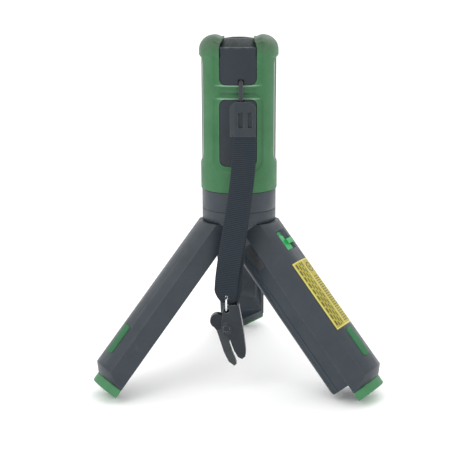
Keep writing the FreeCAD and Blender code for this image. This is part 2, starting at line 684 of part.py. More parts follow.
def make_cells(low, high, back):
    """Four cells in two rows, between a contact plate and a spring at each row's ends."""
    middle = back + 1.2 + d.cell_radius
    plate = 0.4
    gap = 0.01
    spring = 2.1
    nub = 1.3
    cells, springs = [], []
    first = low + plate + spring + 0.1
    for column, x in (("left", -7.4), ("right", 7.4)):
        for row in (0, 1):
            start = first + d.cell_length * row
            tag = f"{column}_{row}"
            can = cylinder("cell_" + tag, d.cell_radius, d.cell_length - nub + 0.1, x=x, y=middle, z=start)
            button = cylinder("cell_nub_" + tag, 2.6, nub, x=x, y=middle, z=start + d.cell_length - nub)
            cells.append(fuse("cell_solid_" + tag, can, button))
        springs.append(cone(f"spring_{column}", 4, 2.6, spring, x=x, y=middle, z=low + plate + gap * 2))
    part("batteries", group("cell_group", cells), splayed(RIGHT))
    part("contact_springs", group("spring_group", springs), splayed(RIGHT))
    plates = [block("plate_low", (-12, 12), (back + 2.4, back + 12), (low + gap, low + gap + plate)),
              block("plate_high", (-12, 12), (back + 2.4, back + 12), (high - gap - plate, high - gap))]
    part("contact_plates", group("plate_group", plates), splayed(RIGHT))


def make_switch():
    """The sliding power switch in its well, and the switch body behind it."""
    low = d.collar_base - d.switch_start - d.switch_length
    half = d.switch_half - 0.4
    rest = low + 0.3
    base_top = low + d.switch_length - 0.3
    face, root = -24.8, -22.5
    base = block("slider_base", (-half, 2.4), (-22.85, -21.6), (rest, base_top))
    strip = block("slider_strip", (-half, 0.2), (face, root), (rest, base_top - d.switch_travel))
    toe = block("slider_toe", (-half, 2.4), (face, root), (rest, low + 4.2))
    knob_box = block("slider_knob_box", (-1.5, 4.9), (-26.8, root), (low + 4.2, low + 8.2))
    knob = rounded("slider_knob", knob_box, 0.9, "x")
    stem = block("slider_stem", (-0.9, 0.9), (root, -19.4), (low + 4, low + 6))
    slider = fuse("slider_solid", base, strip, toe, knob, stem)
    part("power_slider", slider, splayed(RIGHT))
    module = group("switch_body", [block("switch_block", (-4, 4), (-19.1, -15.1), (low + 1, low + 16))])
    part("switch_module", module, splayed(RIGHT))


def make_label():
    """The plain instruction label, a thin plate on the leg's curved face."""
    high = d.collar_base - d.label_start
    low = high - d.label_length
    skin = tube("label_skin", d.hub_radius + 0.2, d.hub_radius + 0.02, low, high)
    zone = face_block("label_zone", d.label_half, low, high, (-40, -10), 1.0)
    part("leg_label", common("label_plate", skin, zone), splayed(RIGHT))


# ---------------------------------------------------------------- lanyard

def route_wire(points):
    """Straight runs joined by tangent arcs, each as large as 0.45 of the shorter run beside it allows."""
    edges, radii = [], []
    start = points[0]
    for before, corner, after in zip(points, points[1:], points[2:]):
        run_in, run_out = corner - before, after - corner
        half_turn = run_in.getAngle(run_out) / 2
        setback = 0.45 * min(run_in.Length, run_out.Length)
        toward, away = run_in.normalize(), run_out.normalize()
        arc_start, arc_end = corner - toward * setback, corner + away * setback
        radius = setback / math.tan(half_turn)
        inward = (away - toward).normalize()
        centre = corner + inward * (radius / math.cos(half_turn))
        edges.append(Part.LineSegment(start, arc_start).toShape())
        edges.append(Part.Arc(arc_start, centre - inward * radius, arc_end).toShape())
        radii.append(round(radius, 2))
        start = arc_end
    edges.append(Part.LineSegment(start, points[-1]).toShape())
    return Part.Wire(edges), radii


def sweep(node, points, profile, area):
    """A solid swept along a route; its volume is compared with section times length."""
    wire, radii = route_wire(points)
    solid = wire.makePipeShell([profile], True, False)
    ratio = solid.Volume / (area * wire.Length)
    print(f"{node}: length {wire.Length:.1f} mm, bend radii {radii}, volume ratio {ratio:.4f}")
    obj = doc.addObject("Part::Feature", node)
    obj.Shape = solid
    return obj


def make_cord():
    """The cord that loops over the bar and goes into the cap at both ends."""
    side = d.cord_side.number
    route = [(0.0, -30.7, 201.8), (0.0, -29.4, 207.1), (0.1, -29.2, 213.2), (0.15, -22.8, 213.2),
             (0.3, -22.7, 206.7), (0.1, -22.9, 199.5), (0.0, -27.9, 197.2)]
    points = [V(side + x, y, z) for x, y, z in route]
    start_direction = points[1] - points[0]
    radius = d.cord_radius.number
    profile = Part.Wire([Part.Circle(points[0], start_direction, radius).toShape()])
    part("lanyard_cord", sweep("lanyard_cord_tube", points, profile, math.pi * radius * radius))


def make_cap():
    """The plastic cap that grips the cord above and the webbing below."""
    side, half = d.cap_side, d.cap_half
    low, high = d.cap_base, d.cap_top
    xs, ys = (side - half, side + half), (-34.4, -27.6)
    blank = rounded("cap_rounded", block("cap_block", xs, ys, (low, high)), 5.5, "y")
    lower = block("cap_lower", xs, ys, (low, low + 10))
    slope = [(-32.3, high + 0.1), (-27.4, high - 6.2), (-20, high - 6.2), (-20, high + 2)]
    back_slope = prism("cap_slope", slope, -40, 40, "YZ_Plane")
    mouth = block("cap_mouth", (side - 8.3, side + 8.3), (-33.6, -29.2), (low - 1, low + 5))
    slots = [block(f"cap_slot_{index}", (centre - 1.35, centre + 1.35), (-40, -32.4), (low + 6.2, low + 16.4))
             for index, centre in enumerate((side - 1.4, side + 4.8))]
    part("strap_cap", cut("strap_cap_cut", fuse("cap_solid", blank, lower), back_slope, mouth, *slots))


STRAP_ROUTES = {
    "webbing_front": [(-32.45, 182.1), (-32.7, 173.0), (-37.2, 156.5), (-39.9, 132.5), (-40.7, 108.5),
                      (-40.2, 86.5), (-38.4, 74.5), (-38.35, 63.9)],
    "webbing_back": [(-30.4, 182.1), (-30.6, 172.5), (-31.9, 154.5), (-33.7, 131.5), (-35.0, 107.5),
                     (-35.3, 86.5), (-36.6, 74.5), (-36.65, 63.9)],
}


def make_webbing():
    """The two layers of webbing between the cap and the eyelet, leaning a little to the left."""
    thick, width = d.strap_thick.number, d.strap_width.number
    top = V(d.cap_side.number + 0.9, 0, d.strap_top.number)
    lean = FreeCAD.Placement(V(), FreeCAD.Rotation(V(0, 1, 0), d.strap_lean.number), top)
    for node, route in STRAP_ROUTES.items():
        points = [V(top.x, y, z) for y, z in route]
        tangent = (points[1] - points[0]).normalize()
        normal = tangent.cross(V(1, 0, 0))
        corners = [points[0] + V(across * width / 2, 0, 0) + normal * (out * thick / 2)
                   for across, out in ((-1, -1), (1, -1), (1, 1), (-1, 1))]
        profile = Part.makePolygon(corners + corners[:1])
        strip = sweep(node + "_strip", points, profile, thick * width)
        eyelet = cylinder(node + "_eyelet", 2.0, 20, x=top.x, y=-47, z=66.9, axis="y")
        part(node, cut(node + "_cut", strip, eyelet), lean)


def make_clip():
    """The spring clip: a ring, a folded plate with two cheeks, a lever between them, a pin and a spring."""
    plane, half = d.clip_plane, d.clip_half
    front, rear = plane + half, plane - half
    pivot_x, pivot_z = -7.8, 46.5
    ring_x, ring_z = -7.8, 62.9
    ring_hole_z = 59.75
    ring = doc.addObject("Part::Torus", "ring")
    ring.Radius1, ring.Radius2 = 5.0, 0.75
    place(ring, ring_x, -plane, ring_z, "x")
    part("clip_ring", ring)
    plate_outline = [(-11.6, 48.0), (-9.6, 42.8), (-5.5, 38.5), (-2.6, 30.4), (0.2, 25.6), (2.9, 24.2),
                     (5.2, 26.0), (5.7, 29.6), (3.9, 45.7), (0.9, 62.7), (-1.6, 63.7), (-9.8, 62.1),
                     (-10.6, 56.5)]
    cheek_gap = 0.9
    plate = prism("plate_blank", plate_outline, rear, front, "XZ_Plane")
    inside = [(-20, 16.5), (-1.0, 16.5), (1.2, 26.8), (3.6, 27.8), (4.6, 30.0), (2.9, 45.5), (0.2, 61.5),
              (-1.6, 66.5), (-20, 66.5)]
    channel = prism("plate_channel", inside, rear + cheek_gap, front - cheek_gap, "XZ_Plane")
    ring_hole = cylinder("plate_ring_hole", 2.05, 20, x=ring_x, y=-47, z=ring_hole_z, axis="y")
    pin_hole = cylinder("plate_pin_hole", 1.31, 20, x=pivot_x, y=-47, z=pivot_z, axis="y")
    part("clip_plate", cut("clip_plate_cut", plate, channel, ring_hole, pin_hole))
    lever_front, lever_rear = front - cheek_gap - 0.3, rear + cheek_gap + 0.3
    lever_outline = [(-17.8, 48.8), (-14.6, 44.7), (-9.6, 28.6), (-6.3, 21.8), (-2.4, 18.7), (-0.8, 20.2),
                     (-1.7, 23.2), (-3.8, 28.2), (-5.9, 35.0), (-4.6, 43.1), (-3.4, 46.3), (-4.2, 49.5),
                     (-7.8, 51.1)]
    lever_blank = prism("lever_blank", lever_outline, lever_rear, lever_front, "XZ_Plane")
    knob = cylinder("lever_knob", 5.1, lever_front - lever_rear, x=-14.0, y=-lever_front, z=51.4, axis="y")
    bore = cylinder("lever_bore", 1.3 + d.turn_gap, 20, x=pivot_x, y=-47, z=pivot_z, axis="y")
    spring_room = cylinder("lever_spring_room", 2.9, 2.4, x=pivot_x, y=-plane - 1.2, z=pivot_z, axis="y")
    part("clip_lever", cut("lever_cut", fuse("lever_solid", lever_blank, knob), bore, spring_room))
    shank = cylinder("clip_pin_shank", 1.3, half * 2 + 0.8, x=pivot_x, y=-front - 0.4, z=pivot_z, axis="y")
    heads = [cylinder("clip_pin_head_front", 2.4, 0.6, x=pivot_x, y=-front - 0.65, z=pivot_z, axis="y"),
             cylinder("clip_pin_head_rear", 2.4, 0.6, x=pivot_x, y=-rear + 0.05, z=pivot_z, axis="y")]
    part("clip_pin", fuse("clip_pin_solid", shank, *heads))
    outer, inner = [cylinder("coil_" + tag, radius, 2, x=pivot_x, y=-plane - 1, z=pivot_z, axis="y")
                    for tag, radius in (("outer", 2.5), ("inner", 1.5))]
    part("clip_spring", cut("clip_spring_coil", outer, inner))


# ---------------------------------------------------------------- build, check and write

def check_and_write():
    doc.recompute()
    for obj in doc.Objects:
        faults = [state for state in obj.State if state in ("Invalid", "Error")]
        if faults:
            raise RuntimeError(f"{obj.Name} is {faults}")
    for node, obj in parts.items():
        shape = obj.Shape
        if shape.isNull() or not shape.isValid() or not shape.Solids:
            raise RuntimeError(f"{node} has no valid solid")
    os.makedirs("parts", exist_ok=True)
    for node, obj in parts.items():
        obj.Shape.exportStep(f"parts/{node}.step")
    print(len(parts), "nodes written")


make_panels()
make_cage()
make_housing()
make_roof()
make_collar()
make_hub()
make_works()
for leg_side, leg_azimuth in (("left", LEFT), ("right", RIGHT), ("rear", REAR)):
    make_leg(leg_side, leg_azimuth)
make_battery_box()
make_switch()
make_label()
make_cord()
make_cap()
make_webbing()
make_clip()
check_and_write()
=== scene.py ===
import json
import math

import bmesh
import bpy
import numpy as np
from mathutils import Matrix, Vector

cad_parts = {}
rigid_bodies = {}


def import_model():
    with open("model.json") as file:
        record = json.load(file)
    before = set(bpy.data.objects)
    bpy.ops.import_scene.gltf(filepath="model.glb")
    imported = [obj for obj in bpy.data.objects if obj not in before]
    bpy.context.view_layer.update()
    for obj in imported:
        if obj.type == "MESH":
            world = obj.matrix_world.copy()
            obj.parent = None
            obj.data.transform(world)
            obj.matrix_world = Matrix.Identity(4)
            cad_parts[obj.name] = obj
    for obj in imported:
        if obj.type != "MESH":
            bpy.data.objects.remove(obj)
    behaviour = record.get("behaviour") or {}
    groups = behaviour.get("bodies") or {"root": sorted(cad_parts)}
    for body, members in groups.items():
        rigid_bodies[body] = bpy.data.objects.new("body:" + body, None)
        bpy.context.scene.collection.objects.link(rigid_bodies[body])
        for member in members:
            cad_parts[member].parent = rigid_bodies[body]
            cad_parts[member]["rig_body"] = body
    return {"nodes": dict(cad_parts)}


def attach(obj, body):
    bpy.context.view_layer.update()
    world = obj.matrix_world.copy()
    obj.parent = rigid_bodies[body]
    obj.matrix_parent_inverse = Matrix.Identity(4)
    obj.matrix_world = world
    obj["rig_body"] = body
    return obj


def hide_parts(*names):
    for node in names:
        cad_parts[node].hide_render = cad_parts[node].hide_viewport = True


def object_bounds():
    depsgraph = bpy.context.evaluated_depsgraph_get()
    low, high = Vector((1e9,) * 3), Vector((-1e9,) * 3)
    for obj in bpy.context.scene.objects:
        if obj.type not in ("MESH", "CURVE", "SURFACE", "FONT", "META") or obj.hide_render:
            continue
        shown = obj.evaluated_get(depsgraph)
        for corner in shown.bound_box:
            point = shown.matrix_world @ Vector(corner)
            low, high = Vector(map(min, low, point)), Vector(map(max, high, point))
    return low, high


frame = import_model()
cad_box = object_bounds()

MM = 0.001
nodes = frame["nodes"]

# Sizes shared with the design, in millimetres. The splay and the right leg's azimuth are in degrees.
HINGE_RADIUS, HINGE_HEIGHT, SPLAY = 21.0, 117.5, 41.0
COLLAR_BASE, LEG_RADIUS = 116.0, 26.0
WINDOW_HALF, SIDE_HALF, WINDOW_CORNER = 12.6, 8.9, 4.0
LOW_BASE, BRIDGE_BASE, BRIDGE_TOP = 156.5, 201.7, 211.3
SIDE_BASE, SIDE_TOP, ROOF_EDGE = 158.3, 228.4, 235.9
RIGHT_LEG = 60
STRAP_WIDE, STRAP_THICK, STRAP_RIBS = 16.0, 1.5, 92


def mm(x, y, z):
    return Vector((x, y, z)) * MM


# ---------------------------------------------------------------- materials

def add(tree, kind, values=None, **settings):
    """A shader node with its settings made, and its sockets set or linked."""
    node = tree.nodes.new(kind)
    for name, value in settings.items():
        setattr(node, name, value)
    for socket, value in (values or {}).items():
        if isinstance(value, bpy.types.NodeSocket):
            tree.links.new(value, node.inputs[socket])
        else:
            node.inputs[socket].default_value = value
    return node


def mixed(tree, factor, first, second):
    """Colour first where factor is 0, and second where it is 1."""
    node = add(tree, "ShaderNodeMix", data_type="RGBA")
    for socket, value in ((0, factor), (6, first), (7, second)):
        if isinstance(value, bpy.types.NodeSocket):
            tree.links.new(value, node.inputs[socket])
        else:
            node.inputs[socket].default_value = (*value, 1) if socket else value
    return node.outputs[2]


def ranged(tree, value, low, high, start=0.0, end=1.0):
    """The value mapped from low..high to start..end, and held there beyond them."""
    values = {"Value": value, "From Min": low, "From Max": high, "To Min": start, "To Max": end}
    return add(tree, "ShaderNodeMapRange", values).outputs[0]


def noise(tree, scale, detail=4.0, rough=0.55):
    """Noise over the piece, with scale in features per metre."""
    coords = add(tree, "ShaderNodeTexCoord").outputs["Object"]
    values = {"Vector": coords, "Scale": scale, "Detail": detail, "Roughness": rough}
    return add(tree, "ShaderNodeTexNoise", values).outputs[0]


def edge_mask(tree, radius):
    """From 0 on flat places to 1 at edges, from how far a bevel would turn the surface."""
    bevel = add(tree, "ShaderNodeBevel", {"Radius": radius}, samples=4).outputs[0]
    flat = add(tree, "ShaderNodeNewGeometry").outputs["Normal"]
    turn = add(tree, "ShaderNodeVectorMath", {0: bevel, 1: flat}, operation="DOT_PRODUCT")
    return ranged(tree, turn.outputs["Value"], 0.98, 0.80)


def calculated(tree, operation, *values):
    return add(tree, "ShaderNodeMath", dict(enumerate(values)), operation=operation).outputs[0]


def times(tree, first, second):
    return calculated(tree, "MULTIPLY", first, second)


def region(tree, limits):
    """1 inside a box and 0 outside; limits has (low, high, blur) in millimetres for some of the axes.

    An axis written |x| or |y| doesn't count its sign, so the region lies on both sides of the part.
    """
    coords = add(tree, "ShaderNodeTexCoord").outputs["Object"]
    split = add(tree, "ShaderNodeSeparateXYZ", {0: coords})
    inside = 1.0
    for axis, (low, high, blur) in limits.items():
        place = split.outputs["xyz".index(axis.strip("|"))]
        if axis.startswith("|"):
            place = calculated(tree, "ABSOLUTE", place)
        over = ranged(tree, place, (low - blur) * MM, low * MM)
        under = ranged(tree, place, (high + blur) * MM, high * MM)
        inside = times(tree, inside, times(tree, over, under))
    return inside


def blank_material(name):
    """A material with an empty node tree, and the tree."""
    material = bpy.data.materials.new(name)
    material.use_nodes = True
    material.node_tree.nodes.clear()
    return material, material.node_tree


def close_tree(tree, colour, gloss, bump, **uniform):
    """End a tree in a shader with a colour, a roughness, a bump and uniform values by socket name."""
    values = {"Base Color": colour, "Roughness": gloss, "Normal": bump, **uniform}
    shader = add(tree, "ShaderNodeBsdfPrincipled", values)
    out = add(tree, "ShaderNodeOutputMaterial")
    tree.links.new(shader.outputs[0], out.inputs[0])


def surface(name, dark, light, rough, spread=0.08, patch=70.0, grain=1800.0, depth=0.02, worn=None,
            wear=0.5, scuff=None, metal=0.0, coat=0.0, specular=0.5, sheen=0.0, marks=(), hollow_fill_light=None):
    """A finish with patches between two colours, a grain, worn edges and scuffs.

    patch and grain are features per metre, and depth is the grain's depth in millimetres.
    marks are (colour, cover, rubbed, limits): that colour over a region, broken up by noise where rubbed.
    The colour for the hollow places is painted in where ambient occlusion finds them: painted fill light
    that lifts their shade.
    """
    edge_radius, hollow_reach = 0.6, 30
    material, tree = blank_material(name)
    patches = noise(tree, patch, 5.0, 0.6)
    colour = mixed(tree, ranged(tree, patches, 0.3, 0.7), dark, light)
    if scuff:
        spots = ranged(tree, noise(tree, patch * 4.5, 6.0, 0.7), 0.60, 0.72)
        cover = ranged(tree, noise(tree, patch * 0.6, 2.0), 0.45, 0.65, 0.0, 0.55)
        colour = mixed(tree, times(tree, spots, cover), colour, scuff)
    if worn:
        rub = ranged(tree, noise(tree, patch * 6, 4.0, 0.7), 0.35, 0.6, 0.1, wear)
        colour = mixed(tree, times(tree, edge_mask(tree, edge_radius * MM), rub), colour, worn)
    for mark, cover, rubbed, limits in marks:
        if rubbed:
            cover = ranged(tree, noise(tree, 320.0, 6.0, 0.7), 0.40, 0.62, 0.0, cover)
        colour = mixed(tree, times(tree, region(tree, limits), cover), colour, mark)
    # Painted fill light: the hollow places are lightened towards a pale colour where ambient occlusion
    # finds them.
    if hollow_fill_light:
        reach = {"Distance": hollow_reach * MM}
        open_sky = add(tree, "ShaderNodeAmbientOcclusion", reach, samples=8, only_local=True)
        colour = mixed(tree, ranged(tree, open_sky.outputs["AO"], 0.75, 0.25), colour, hollow_fill_light)
    fine = noise(tree, grain, 3.0, 0.6)
    wander = noise(tree, patch * 2.2, 5.0, 0.65)
    gloss = ranged(tree, wander, 0.3, 0.7, rough - spread, rough + spread)
    values = {"Height": fine, "Distance": depth * MM, "Strength": 0.6}
    bump = add(tree, "ShaderNodeBump", values).outputs[0]
    uniform = {"Metallic": metal, "Coat Weight": coat, "Coat Roughness": 0.12,
               "Specular IOR Level": specular, "Sheen Weight": sheen, "Sheen Roughness": 0.45}
    close_tree(tree, colour, gloss, bump, **uniform)
    return material


def make_finishes():
    """One material for each slot of the record, and the extra ones that only some pieces need."""
    grey_worn = (0.13, 0.145, 0.16)
    pale_green = (0.20, 0.36, 0.24)
    # Painted shade: a darker green over the shoulders and roof, to take down the light they get from the
    # surround.
    painted_roof_shade = ((0.007, 0.056, 0.020), 0.8, False, {"z": (241.0, 300.0, 9.0)})
    roof_wear = ((0.065, 0.085, 0.052), 0.7, True, {"z": (238.0, 300.0, 9.0)})
    # Painted highlight: pale bands beside the side windows, where their frames' edges catch the light.
    side_frame = {"|x|": (21.0, 40.0, 1.0), "|y|": (9.1, 10.5, 0.5), "z": (163.0, 224.0, 3.0)}
    painted_side_highlight = ((0.50, 0.64, 0.55), 0.85, False, side_frame)
    bridge_tone = ((0.010, 0.075, 0.024), 0.55, False, {"|x|": (0.0, 11.0, 3.0), "z": (203.6, 209.4, 0.6)})
    # Painted highlight: pale lines along both edges of the bar between the front windows.
    painted_bridge_highlights = [((0.32, 0.54, 0.37), 0.5, False, {"|x|": (0.0, 11.0, 5.5), "z": (low, low + 0.4, 0.5)})
            for low in (BRIDGE_BASE + 0.2, BRIDGE_TOP - 0.6)]
    panel_top = ((0.060, 0.075, 0.080), 0.8, True, {"z": (236.2, 300.0, 1.6)})
    looks = {
        "green_rubber": dict(dark=(0.0135, 0.108, 0.030), light=(0.0236, 0.134, 0.044), rough=0.52,
                             grain=2600, depth=0.03, worn=pale_green, wear=0.8,
                             scuff=(0.085, 0.145, 0.095),
                             marks=(painted_roof_shade, roof_wear, painted_side_highlight, bridge_tone, *painted_bridge_highlights)),
        "black_plastic": dict(dark=(0.012, 0.021, 0.031), light=(0.019, 0.030, 0.041), rough=0.42,
                              grain=2200, depth=0.035, worn=grey_worn, wear=0.55,
                              scuff=(0.045, 0.054, 0.060)),
        # The leg shells get painted fill light in their hollows.
        "leg_shell": dict(dark=(0.010, 0.0175, 0.026), light=(0.016, 0.026, 0.036), rough=0.42,
                          grain=2200, depth=0.035, worn=grey_worn, wear=0.55,
                          scuff=(0.045, 0.054, 0.060), hollow_fill_light=(0.22, 0.25, 0.28)),
        "roof_plastic": dict(dark=(0.010, 0.016, 0.018), light=(0.026, 0.034, 0.036), rough=0.48,
                             patch=260, grain=2000, depth=0.03, worn=(0.16, 0.19, 0.20), wear=0.9,
                             scuff=(0.055, 0.068, 0.064), specular=0.12),
        "smoked_panel": dict(dark=(0.009, 0.015, 0.023), light=(0.013, 0.020, 0.029), rough=0.34,
                             spread=0.06, grain=900, depth=0.006, worn=(0.06, 0.07, 0.08), wear=0.4,
                             specular=0.35, marks=(panel_top,)),
        "lens_glass": dict(dark=(0.010, 0.012, 0.020), light=(0.016, 0.020, 0.034), rough=0.06,
                           spread=0.02, grain=300, depth=0.002, coat=1.0),
        "steel": dict(dark=(0.42, 0.43, 0.44), light=(0.55, 0.55, 0.56), rough=0.30, grain=1500,
                      depth=0.01, metal=1.0),
        "alloy": dict(dark=(0.35, 0.36, 0.38), light=(0.48, 0.49, 0.50), rough=0.42, grain=900,
                      depth=0.02, metal=1.0),
        "copper": dict(dark=(0.60, 0.26, 0.14), light=(0.72, 0.35, 0.20), rough=0.30, grain=900,
                       depth=0.01, metal=1.0),
        "brass": dict(dark=(0.60, 0.42, 0.16), light=(0.72, 0.53, 0.24), rough=0.28, grain=1200,
                      depth=0.01, metal=1.0),
        "board_green": dict(dark=(0.010, 0.080, 0.030), light=(0.020, 0.120, 0.045), rough=0.38,
                            grain=700, depth=0.02),
        "foot_green": dict(dark=(0.024, 0.142, 0.050), light=(0.040, 0.180, 0.068), rough=0.55,
                           grain=2400, depth=0.04, worn=(0.30, 0.46, 0.34), wear=1.0,
                           scuff=(0.11, 0.22, 0.14)),
        "pad_green": dict(dark=(0.007, 0.100, 0.030), light=(0.012, 0.125, 0.042), rough=0.55,
                          grain=2600, depth=0.03, worn=(0.10, 0.24, 0.14), wear=0.5, specular=0.35),
        "slider_green": dict(dark=(0.012, 0.300, 0.075), light=(0.020, 0.370, 0.105), rough=0.42,
                             grain=1800, depth=0.02, worn=(0.30, 0.55, 0.36)),
        "cell_can": dict(dark=(0.05, 0.06, 0.08), light=(0.09, 0.10, 0.12), rough=0.35, grain=600,
                         depth=0.01, coat=0.3),
        "label_yellow": dict(dark=(0.30, 0.255, 0.012), light=(0.38, 0.330, 0.022), rough=0.48,
                             grain=1500, depth=0.008, scuff=(0.25, 0.23, 0.10)),
        "label_print": dict(dark=(0.58, 0.55, 0.20), light=(0.66, 0.63, 0.27), rough=0.50, grain=1500,
                            depth=0.008),
        "label_ink": dict(dark=(0.045, 0.042, 0.012), light=(0.080, 0.074, 0.020), rough=0.55,
                          grain=1500, depth=0.008),
        "cord_black": dict(dark=(0.010, 0.014, 0.020), light=(0.020, 0.026, 0.034), rough=0.62,
                           grain=4000, depth=0.08, sheen=0.12),
        "cap_plastic": dict(dark=(0.010, 0.017, 0.024), light=(0.018, 0.027, 0.034), rough=0.40,
                            grain=2200, depth=0.03, worn=(0.22, 0.25, 0.27), wear=0.9, specular=0.4),
        "chrome_wire": dict(dark=(0.70, 0.71, 0.72), light=(0.82, 0.83, 0.84), rough=0.12, spread=0.05,
                            grain=900, depth=0.006, metal=1.0),
        "clip_metal": dict(dark=(0.010, 0.014, 0.019), light=(0.020, 0.026, 0.033), rough=0.36,
                           grain=1600, depth=0.02, worn=(0.42, 0.44, 0.45), wear=1.0, specular=0.3),
        "latch_grey": dict(dark=(0.018, 0.021, 0.024), light=(0.030, 0.033, 0.036), rough=0.45,
                           patch=220, grain=1800, depth=0.03, worn=(0.12, 0.125, 0.13), wear=0.8),
        "clip_knob": dict(dark=(0.006, 0.010, 0.015), light=(0.012, 0.017, 0.023), rough=0.34,
                          spread=0.06, grain=900, depth=0.01, specular=0.3),
        "clip_grey": dict(dark=(0.028, 0.033, 0.037), light=(0.048, 0.054, 0.058), rough=0.46,
                          grain=1600, depth=0.03, worn=(0.42, 0.42, 0.40), wear=1.0, specular=0.3),
    }
    made = {name: surface(name, **look) for name, look in looks.items()}
    made["webbing"] = webbing_finish()
    return made


def webbing_finish():
    """Woven nylon: fine yarn bumps from crossed waves on the strip's own coordinates, and a soft sheen."""
    yarns_across, yarn_high = 22.0, 0.09
    material, tree = blank_material("webbing")
    coords = add(tree, "ShaderNodeUVMap").outputs[0]
    split = add(tree, "ShaderNodeSeparateXYZ", {0: coords})
    across, along = (calculated(tree, "COSINE", times(tree, output, count * math.pi))
                     for output, count in zip(split.outputs, (yarns_across, STRAP_RIBS * 2)))
    weave = ranged(tree, times(tree, across, along), -0.7, 0.7)
    rib = ranged(tree, along, -0.6, 0.8)
    patches = ranged(tree, noise(tree, 160.0, 5.0, 0.65), 0.3, 0.7)
    ground = mixed(tree, patches, (0.0035, 0.0070, 0.011), (0.007, 0.012, 0.018))
    # Painted highlight and shade: the rib crests are paler and the grooves darker, in step with the strip's
    # ribs.
    colour = mixed(tree, times(tree, rib, 0.9), ground, (0.020, 0.032, 0.044))
    lint = ranged(tree, noise(tree, 1500.0, 2.0, 0.5), 0.70, 0.78)
    colour = mixed(tree, times(tree, lint, 0.4), colour, (0.09, 0.10, 0.11))
    values = {"Height": weave, "Distance": yarn_high * MM, "Strength": 0.8}
    bump = add(tree, "ShaderNodeBump", values).outputs[0]
    gloss = ranged(tree, patches, 0.0, 1.0, 0.62, 0.78)
    uniform = {"Specular IOR Level": 0.3, "Sheen Weight": 0.12, "Sheen Roughness": 0.4}
    close_tree(tree, colour, gloss, bump, **uniform)
    return material


finishes = make_finishes()


# ---------------------------------------------------------------- meshes

def link(name, mesh):
    """A new object in the scene for a mesh or a curve."""
    obj = bpy.data.objects.new(name, mesh)
    bpy.context.scene.collection.objects.link(obj)
    return obj


def evaluated(obj):
    """The object's mesh with its modifiers applied."""
    bpy.context.view_layer.update()
    return bpy.data.meshes.new_from_object(obj.evaluated_get(bpy.context.evaluated_depsgraph_get()))


def applied(obj):
    """Turn the object's modifiers into its mesh."""
    obj.data = evaluated(obj)
    obj.modifiers.clear()
    return obj


def smooth(obj):
    obj.data.shade_smooth()
    return obj


def piece(obj, body, slot, *replaced, finish=None, extra=()):
    """Give a new piece its finishes and its body, and hide the CAD nodes it stands for.

    Its first finish is named after the slot, unless finish names another; extra names those that follow.
    """
    faces = obj.data.polygons if obj.type == "MESH" else []
    chosen = [face.material_index for face in faces]
    obj.data.materials.clear()
    for name in (finish or slot, *extra):
        obj.data.materials.append(finishes[name])
    for face, index in zip(faces, chosen):
        face.material_index = min(index, len(extra))
    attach(obj, body)
    if replaced:
        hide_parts(*replaced)


def eased_copy(node, name, voxel, passes, shape=None, keep=None):
    """A finer copy of a CAD node with its edges eased as on a moulding.

    voxel is the new mesh's step in millimetres, and passes is how often it is smoothed. shape moves its
    points, given and returned in millimetres, and keep is the share of faces to keep.
    """
    obj = link(name, nodes[node].data.copy())
    remesh = obj.modifiers.new("remesh", "REMESH")
    remesh.mode = "VOXEL"
    remesh.voxel_size = voxel * MM
    ease = obj.modifiers.new("ease", "SMOOTH")
    ease.factor = 0.5
    ease.iterations = passes
    mesh = applied(obj).data
    if shape:
        points = np.empty(len(mesh.vertices) * 3)
        mesh.vertices.foreach_get("co", points)
        points = shape(points.reshape(-1, 3) / MM) * MM
        mesh.vertices.foreach_set("co", points.ravel())
        mesh.update()
    if keep:
        thin = obj.modifiers.new("thin", "DECIMATE")
        thin.ratio = keep
        applied(obj)
    return smooth(obj)


def soften(node, width, angle=32.0):
    """Ease a CAD node's hard edges with modifiers, and leave its mesh as it is."""
    same_place, flat_turn = 0.002, 0.5
    obj = nodes[node]
    weld = obj.modifiers.new("weld", "WELD")
    weld.merge_threshold = same_place * MM
    flat = obj.modifiers.new("flat", "DECIMATE")
    flat.decimate_type = "DISSOLVE"
    flat.angle_limit = math.radians(flat_turn)
    bevel = obj.modifiers.new("bevel", "BEVEL")
    bevel.width = width * MM
    bevel.segments = 3
    bevel.limit_method = "ANGLE"
    bevel.angle_limit = math.radians(angle)
    bevel.harden_normals = True


def dress_nodes():
    """Give each CAD node the finish of its slot, or one of its own."""
    own = {"top_cap": "roof_plastic", "top_bezel": "roof_plastic", "left_leg": "leg_shell",
           "right_leg": "leg_shell", "rear_leg": "leg_shell"}
    for node, obj in nodes.items():
        finish = own.get(node, obj.data.materials[0].name)
        obj.data.materials.clear()
        obj.data.materials.append(finishes[finish])


def splayed(azimuth):
    """The matrix that takes a point of the folded leg that faces -Y to its own splayed leg."""
    hinge = mm(0, -HINGE_RADIUS, HINGE_HEIGHT)
    swing = Matrix.Rotation(math.radians(-SPLAY), 4, "X")
    swung = Matrix.Translation(hinge) @ swing @ Matrix.Translation(-hinge)
    return Matrix.Rotation(math.radians(azimuth), 4, "Z") @ swung


# ---------------------------------------------------------------- camera, light and floor

def make_camera():
    """The photograph's camera: a little above the head, turned and rolled by small angles."""
    yaw, pitch, roll = math.radians(2.29), math.radians(13.5), math.radians(-0.29)
    bearing, distance, height = math.radians(1.44), 0.676, 0.2722
    forward = Vector((-math.sin(yaw) * math.cos(pitch), math.cos(yaw) * math.cos(pitch), -math.sin(pitch)))
    level = Vector((math.cos(yaw), math.sin(yaw), 0))
    upright = level.cross(forward)
    right = level * math.cos(roll) + upright * math.sin(roll)
    up = upright * math.cos(roll) - level * math.sin(roll)
    data = bpy.data.cameras.new("camera")
    data.lens = 77.9
    data.sensor_width = 36.0
    data.clip_start = 0.01
    camera = bpy.data.objects.new("camera", data)
    bpy.context.scene.collection.objects.link(camera)
    turn = Matrix((right, up, -forward)).transposed().to_4x4()
    place = Matrix.Translation((distance * math.sin(bearing), -distance * math.cos(bearing), height))
    camera.matrix_world = place @ turn
    bpy.context.scene.camera = camera


